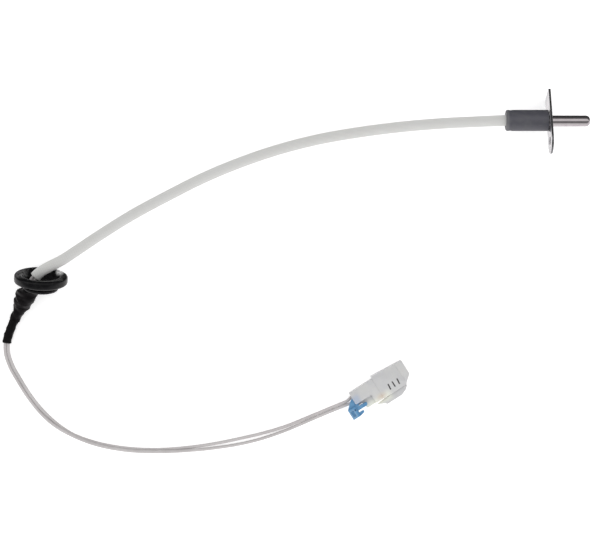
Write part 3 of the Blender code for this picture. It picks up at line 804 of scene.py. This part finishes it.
def make_braid(material):
    """The braided sleeve: two sets of yarns that cross over and under, and a cut, hollow end."""
    rows = smooth(CABLE_ROUTE, BRAID_STEP, SLEEVE_START, SLEEVE_END)
    line = [row.xyz for row in rows]
    travelled = distances(line)
    heights = []

    def radius(index, angles):
        heights.append(yarn_height(angles / math.tau, travelled[index] / BRAID_LEAD))
        return BRAID_RADIUS + BRAID_LIFT * heights[-1]

    outside = sweep("braid", line, radius, BRAID_SIDES, closed=False)
    points = np.array([vertex.co for vertex in outside.vertices])
    faces = [tuple(polygon.vertices) for polygon in outside.polygons]
    # The cut end turns in over the wall and runs back inside the sleeve.
    last_ring = len(points) - BRAID_SIDES
    centre, tangent = np.array(line[-1]), np.array((line[-1] - line[-2]).normalized())
    rings = [centre + (points[last_ring:] - centre) * share + tangent * past for share, past, _ in BRAID_END]
    faces += ring_faces(last_ring, len(rings) + 1, BRAID_SIDES)
    heights += [np.full(BRAID_SIDES, height) for _, _, height in BRAID_END]
    mesh = mesh_from("braid_cover", np.concatenate([points, *rings]), faces)
    crest = mesh.attributes.new("crest", "FLOAT", "POINT")
    crest.data.foreach_set("value", np.concatenate(heights).astype(np.float32))
    braid = shown("braid_cover", mesh, material, ["braid_sleeve"], slot="white_glass_braid", smooth_angle=75)
    return braid, line


def make_wire(letter, side, material):
    points = wire_points(smooth(CABLE_ROUTE, WIRE_STEP), side)
    mesh = sweep(f"wire_{letter}", points, lambda index, angles: WIRE_RADIUS, WIRE_SIDES)
    name, replaces = f"insulated_wire_{letter}", [f"lead_wire_{letter}"]
    return shown(name, mesh, material, replaces, slot="pale_grey_insulation"), points


# Pieces on the cable


def bore_tube(radius, first, last):
    """A cutter along the cable, from its row first to its row last."""
    rows = smooth(CABLE_ROUTE, 0.002, first, last)
    return sweep("bore", [row.xyz for row in rows], lambda index, angles: radius, 32)


def make_grommet(material):
    """The panel grommet, turned about its own axis and bored along the cable's path."""
    place = Matrix.Translation(GROMMET_CENTRE) @ GROMMET_AXIS.to_track_quat("Z", "Y").to_matrix().to_4x4()
    body = lathe("grommet", softened(GROMMET_PROFILE), place)
    mesh = combined("grommet_body", body, cuts=[bore_tube(GROMMET_BORE, SLEEVE_END - 1, SLEEVE_END + 3)])
    return shown("grommet_body", mesh, material, ["cable_grommet"], slot="black_rubber", smooth_angle=50)


def radius_at(stations, part):
    """The radius between two stations, on a straight line from one to the next."""
    for (low, before), (high, after) in zip(stations, stations[1:]):
        if part <= high:
            return before + (after - before) * (part - low) / (high - low)
    return stations[-1][1]


def tape_line(rows):
    """The tape's centre line, evenly spaced, and the distance along it to each point."""
    coarse = [row.xyz for row in rows]
    travelled = distances(coarse)
    even = np.linspace(0.0, travelled[-1], TAPE_RINGS)
    line = np.stack([np.interp(even, travelled, [point[k] for point in coarse]) for k in range(3)], axis=1)
    for _ in range(3):
        line[1:-1] = (line[:-2] + 2 * line[1:-1] + line[2:]) / 4
    return line, even


def make_tape(rows, lead, material):
    """The lumpy tape wrap, wound in overlapping turns. lead is its length before the free part."""
    line, travelled = tape_line(rows)
    # The first turn lies flat on the grommet's back, and the rest square to the cable.
    tangents = np.gradient(line, axis=0)
    tangents /= np.linalg.norm(tangents, axis=1)[:, None]
    share = np.clip(travelled / TAPE_SQUARING, 0.0, 1.0)[:, None]
    tangents = (1 - share) * -np.array(GROMMET_AXIS) + share * tangents

    def wrapped(index, angles):
        run = travelled[index]
        part = (run - lead) / (travelled[-1] - lead)
        turn = (run / TAPE_PITCH + angles / math.tau) % 1.0
        step = TAPE_STEP * (1.0 - turn) * np.minimum(1.0, turn * 12)
        lump = 0.00034 * np.sin(2 * angles + 700 * run) + 0.00022 * np.sin(3 * angles - 1300 * run)
        return radius_at(TAPE_RADII, part) + step * (1 - 0.5 * part) + lump * (1 - 0.6 * part)

    mesh = sweep("tape", line, wrapped, TAPE_SIDES, along=tangents)
    mesh = combined("tape_turns", mesh, cuts=[bore_tube(NECK_BORE, SLEEVE_END, NECK_END + 1)])
    return shown("tape_turns", mesh, material, ["tape_wrap"], slot="black_tape", smooth_angle=55)


def make_tail(rows, material):
    """The thin sleeve on the two wires, slightly crinkled."""

    def crinkled(index, angles):
        flat = 0.00012 * np.sin(2 * angles + index * 1.7)
        return TAIL_RADIUS + flat + 0.00008 * np.sin(5 * angles - index * 2.3)

    mesh = sweep("tail", [row.xyz for row in rows], crinkled, TAIL_SIDES)
    mesh = combined("tail_sleeve", mesh, cuts=[bore_tube(NECK_BORE, SLEEVE_END, NECK_END + 1)])
    return shown("tail_sleeve", mesh, material, ["shrink_tail"], slot="black_sleeve", smooth_angle=55)


def make_neck(tape, sleeve):
    """The tape wrap from the grommet's back, and the thin sleeve that runs on from it."""
    rows = smooth(CABLE_ROUTE, NECK_STEP, SLEEVE_END, NECK_END)
    back = -GROMMET_PROFILE[-1][1]
    depths = [(GROMMET_CENTRE - row.xyz).dot(GROMMET_AXIS) for row in rows]
    top = next(i for i, depth in enumerate(depths) if depth > back + TAPE_START)
    free = next(i for i, depth in enumerate(depths) if depth > back + TAPE_FREE)
    travelled = distances([row.xyz for row in rows[top:]])
    lead = travelled[free - top]
    last = top + next(i for i, run in enumerate(travelled) if run - lead > TAPE_LENGTH)
    return make_tape(rows[top : last + 1], lead, tape), make_tail(rows[last:], sleeve)


# Plug


def plug_piece(name, mesh, material, **options):
    """A finished piece from mesh data in the plug's own frame."""
    mesh.transform(PLUG)
    return shown(name, mesh, material, smooth_angle=32, **options)


def make_housing(material):
    """The plug's body: a rear part with the two wire cavities and a wider front with the mouth."""
    side, lower_rear, inset = PLUG_SIDE, -0.0086, 0.0002
    rear_outline = [
        (0.0, 0.0),
        (0.0, lower_rear),
        (0.0034, lower_rear),
        (0.0045, side + inset),
        (0.0160, side + inset),
        (0.0160, 0.0),
    ]
    front_outline = [
        (FRONT_STEP_X, side),
        (0.0294, side),
        (0.0297, -0.0119),
        (PLUG_LENGTH, -0.0085),
        (PLUG_LENGTH, 0.0),
        (FRONT_STEP_X, 0.0014),
    ]
    # A fine line runs across the top, just behind the mating end.
    scribed_line = [(0.0296, -0.0100), (0.0300, -0.0100), (0.0296, 0.0020), (0.0292, 0.0020)]
    mouth = block((MOUTH_FLOOR_X, MOUTH_Y[0], MOUTH_Z[0]), (0.0400, MOUTH_Y[1], MOUTH_Z[1]))
    cavities = [
        block(
            (-0.002, y - CAVITY_HALF, POLE_Z - CAVITY_HALF),
            (MOUTH_FLOOR_X + 0.0005, y + CAVITY_HALF, POLE_Z + CAVITY_HALF),
        )
        for y in POLE_Y
    ]
    tongue_pocket = block((-0.001, -0.0080, LOCK_POCKET_Z), (0.0068, -0.0032, LOCK_ROOF_Z))
    finger_pocket = block((-0.001, side - 0.002, LOCK_POCKET_Z), (0.0100, LOCK_ROOF_Y, OUTSIDE_Z))
    scribed = prism(scribed_line, FRONT_HEIGHT - SCRIBED_DEPTH, OUTSIDE_Z)
    mesh = combined(
        "plug_housing",
        prism(rear_outline, inset, REAR_HEIGHT),
        unions=[prism(front_outline, 0.0, FRONT_HEIGHT)],
        cuts=[mouth, *cavities, tongue_pocket, finger_pocket, scribed],
    )
    mesh = rounded("plug_housing", mesh, PLUG_EDGE)
    return plug_piece("plug_housing", mesh, material, replaces=["connector_housing"], slot="white_nylon")


def make_lock(material):
    """The blue lock: a flat comb with a tongue and two fingers, and a raised grip at its rear."""
    comb = [
        (-0.0055, -0.0078),
        (-0.0055, -0.0138),
        (-0.0010, -0.0138),
        (0.0012, -0.0133),
        (0.0019, -0.0128),
        (0.0019, -0.0119),
        (-0.0007, -0.0119),
        (-0.0006, -0.0108),
        (0.0049, -0.0108),
        (0.0056, -0.0103),
        (0.0056, -0.0090),
        (0.0011, -0.0087),
        (0.0011, -0.0076),
        (0.0024, -0.0075),
        (0.0024, -0.0036),
        (-0.0006, -0.0036),
        (-0.0016, -0.0042),
    ]
    grip = block((-0.0054, -0.0137, LOCK_BLOCK_Z[0]), (-0.0011, -0.0078, LOCK_BLOCK_Z[1]))
    recess = block((-0.0048, -0.0126, RECESS_FLOOR_Z), (-0.0029, -0.0090, OUTSIDE_Z))
    pin_hole = disc(PIN_HOLE, PIN_HOLE_RADIUS, PIN_HOLE_FLOOR_Z, OUTSIDE_Z, 20)
    mesh = combined("lock_slider", prism(comb, *LOCK_Z), unions=[grip], cuts=[recess, pin_hole])
    mesh = rounded("lock_slider", mesh, MOVING_EDGE)
    replaces = ["secondary_lock"]
    return plug_piece("lock_slider", mesh, material, replaces=replaces, body="lock", slot="blue_nylon")


def make_lever(material):
    """The latch lever: a press pad at its rear and a ramped hook at its front."""
    outline = [
        (0.0102, -0.0136),
        (0.0141, -0.0154),
        (0.0146, -0.0163),
        (0.0241, -0.0163),
        (0.0274, -0.0150),
        (0.0293, -0.0134),
        (0.0289, -0.0128),
        (0.0212, -0.0128),
        (0.0188, -0.0128),
        (0.0125, -0.0135),
    ]
    mesh = rounded("rocker", prism(outline, *LEVER_Z), MOVING_EDGE)
    replaces = ["latch_lever"]
    return plug_piece("rocker", mesh, material, replaces=replaces, body="lever", slot="white_nylon")


def make_marks(material):
    """Three plain printed strokes on the plug's top."""
    bottom, top = FRONT_HEIGHT - MARK_HALF_THICKNESS, FRONT_HEIGHT + MARK_HALF_THICKNESS
    work = bmesh.new()
    for x, lean in MARKS:
        front = x + MARK_WIDTH
        outline = [(x, -0.0103), (front, -0.0104), (front + lean, -0.0071), (x + lean, -0.0070)]
        work.from_mesh(prism(outline, bottom, top))
    return plug_piece("ink_marks", mesh_of("ink_marks", work), material)


# Probe head


def make_sheath(material):
    """The closed, round-tipped steel tube, open at its rear."""
    radius, inner, floor = SHEATH_RADIUS, SHEATH_RADIUS - SHEATH_WALL, SHEATH_TIP_X - TIP_WALL
    tip = arc((radius - TIP_ROUND, SHEATH_TIP_X - TIP_ROUND), TIP_ROUND, 90, 0, 12)
    profile = [(0.0, SHEATH_TIP_X), *tip, (radius, FLANGE_BACK_X), (radius, SHEATH_REAR_X)]
    profile += [(inner, SHEATH_REAR_X), (inner, floor - 0.0006), (0.0, floor)]
    mesh = lathe("probe_tube", profile, Matrix.Translation((0.0, TUBE_SAG, 0.0)) @ HEAD)
    return shown("probe_tube", mesh, material, ["probe_sheath"], slot="polished_steel")


def make_boot(material):
    """The moulded boot, with a soft rear lip behind a shallow waist."""
    front, rear = BOOT_FRONT_X, BOOT_REAR_X
    profile = [
        (BOOT_BORE, front),
        (BOOT_RADIUS - 0.0002, front),
        (BOOT_RADIUS, front - 0.0002),
        *((BOOT_RADIUS - depth, rear + x) for x, depth in BOOT_WAIST),
        *arc((BOOT_RADIUS - BOOT_EDGE, rear + BOOT_EDGE), BOOT_EDGE, 0, -90, 8),
        *((BOOT_NECK_BORE + wider, rear + x) for x, wider in BOOT_MOUTH),
        (BOOT_NECK_BORE, BOOT_NECK_X),
        (BOOT_BORE, BOOT_NECK_X),
        (BOOT_BORE, front),
    ]
    mesh = lathe("boot_body", profile, HEAD)
    return shown("boot_body", mesh, material, ["silicone_boot"], slot="grey_silicone")


def make_flange(material):
    """The plate: a round end with the screw hole, a square end, and the tube's hole between."""
    width, end, corner = FLANGE_HALF_WIDTH, -FLANGE_SQUARE_END, FLANGE_CORNER_RADIUS
    through = (-0.002, 0.003)
    outline = arc((SCREW_HOLE_OFFSET, 0.0), width, -90, 90, 40)
    outline += arc((end + corner, width - corner), corner, 90, 180, 8)
    outline += arc((end + corner, corner - width), corner, 180, 270, 8)
    holes = [
        disc((0.0, 0.0), SHEATH_RADIUS - TUBE_SAG, *through, 64),
        disc((SCREW_HOLE_OFFSET, 0.0), SCREW_HOLE_RADIUS, *through, 48),
    ]
    mesh = combined("flange_plate", prism(outline, 0.0, FLANGE_THICKNESS), cuts=holes)
    mesh = rounded("flange_plate", mesh, FLANGE_EDGE, segments=2)
    mesh.transform(FLANGE)
    return shown("flange_plate", mesh, material, ["mounting_flange"], slot="bright_plate", smooth_angle=32)


# Stage


def make_camera():
    """Looks straight down, as a new camera does."""
    data = bpy.data.cameras.new("camera")
    data.lens, data.sensor_width = CAMERA_LENS, SENSOR
    data.clip_start, data.clip_end = 0.01, 20.0
    camera = bpy.data.objects.new("camera", data)
    camera.location = CAMERA_PLACE
    bpy.context.scene.collection.objects.link(camera)
    bpy.context.scene.camera = camera


def make_world():
    """Even soft light, a little brighter from -Y, and a striped studio for what is mirrored."""
    world = bpy.data.worlds.new("studio")
    bpy.context.scene.world = world
    world.use_nodes = True
    nodes, links = world.node_tree.nodes, world.node_tree.links
    nodes.clear()
    output = nodes.new("ShaderNodeOutputWorld")
    direction = nodes.new("ShaderNodeTexCoord").outputs["Generated"]
    axes = nodes.new("ShaderNodeSeparateXYZ")
    links.new(direction, axes.inputs[0])
    angle = nodes.new("ShaderNodeMath")
    angle.operation = "ARCTAN2"
    links.new(axes.outputs["Y"], angle.inputs[0])
    links.new(axes.outputs["Z"], angle.inputs[1])
    share = nodes.new("ShaderNodeMapRange")
    share.inputs["From Min"].default_value, share.inputs["From Max"].default_value = -math.pi, math.pi
    links.new(angle.outputs[0], share.inputs["Value"])
    ramp = nodes.new("ShaderNodeValToRGB")
    stops = ramp.color_ramp.elements
    for number, (degrees, bright) in enumerate(MIRRORED):
        place = (degrees + 180) / 360
        stop = stops[number] if number < 2 else stops.new(place)
        stop.position = place
        stop.color = (*(bright * tint for tint in MIRRORED_TINT), 1.0)
    links.new(share.outputs[0], ramp.inputs[0])
    side = nodes.new("ShaderNodeMapRange")
    side.inputs["From Min"].default_value, side.inputs["From Max"].default_value = -1.0, 1.0
    side.inputs["To Min"].default_value, side.inputs["To Max"].default_value = LIGHT_STRENGTHS
    links.new(axes.outputs["Y"], side.inputs["Value"])
    lit = nodes.new("ShaderNodeBackground")
    links.new(side.outputs[0], lit.inputs["Strength"])
    mirrored = nodes.new("ShaderNodeBackground")
    links.new(ramp.outputs[0], mirrored.inputs["Color"])
    seen = nodes.new("ShaderNodeBackground")
    seen.inputs["Color"].default_value = SKY_COLOUR
    path = nodes.new("ShaderNodeLightPath")
    first, second = nodes.new("ShaderNodeMixShader"), nodes.new("ShaderNodeMixShader")
    links.new(path.outputs["Is Glossy Ray"], first.inputs[0])
    links.new(lit.outputs[0], first.inputs[1])
    links.new(mirrored.outputs[0], first.inputs[2])
    links.new(path.outputs["Is Camera Ray"], second.inputs[0])
    links.new(first.outputs[0], second.inputs[1])
    links.new(seen.outputs[0], second.inputs[2])
    links.new(second.outputs[0], output.inputs[0])


def make_floor(material):
    work = bmesh.new()
    bmesh.ops.create_grid(work, x_segments=2, y_segments=2, size=FLOOR_HALF)
    mesh = mesh_of("floor", work)
    mesh.materials.append(material)
    floor = bpy.data.objects.new("floor", mesh)
    bpy.context.scene.collection.objects.link(floor)
    floor.visible_glossy = False


bpy.context.scene.view_settings.view_transform = "Standard"
make_camera()
make_world()
make_floor(pale_floor())

STEEL, PLATE, NYLON = polished_steel(), bright_plate(), white_nylon()
KEPT = {
    "sensor_bead": bead_glass(),
    "ceramic_insulator": white_ceramic(),
    "flange_collar": PLATE,
    "terminal_a": brass(),
}
KEPT["terminal_b"] = KEPT["terminal_a"]
TINNED = tinned_copper()
for node in ("sensor_lead_a", "sensor_lead_b", "crimp_splice_a", "crimp_splice_b"):
    KEPT[node] = TINNED
for node, material in KEPT.items():
    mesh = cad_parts[node].data
    mesh.materials.clear()
    mesh.materials.append(material)

braid, braid_line = make_braid(glass_braid())
INSULATION = wire_insulation()
wire_a, line_a = make_wire("a", -1, INSULATION)
wire_b, line_b = make_wire("b", 1, INSULATION)
grommet = make_grommet(black_rubber())
tape, tail = make_neck(black_tape(), black_sleeve())
make_sheath(STEEL)
make_boot(grey_silicone())
make_flange(PLATE)
housing = make_housing(NYLON)
lock = make_lock(blue_nylon())
lever = make_lever(NYLON)
marks = make_marks(faded_ink())
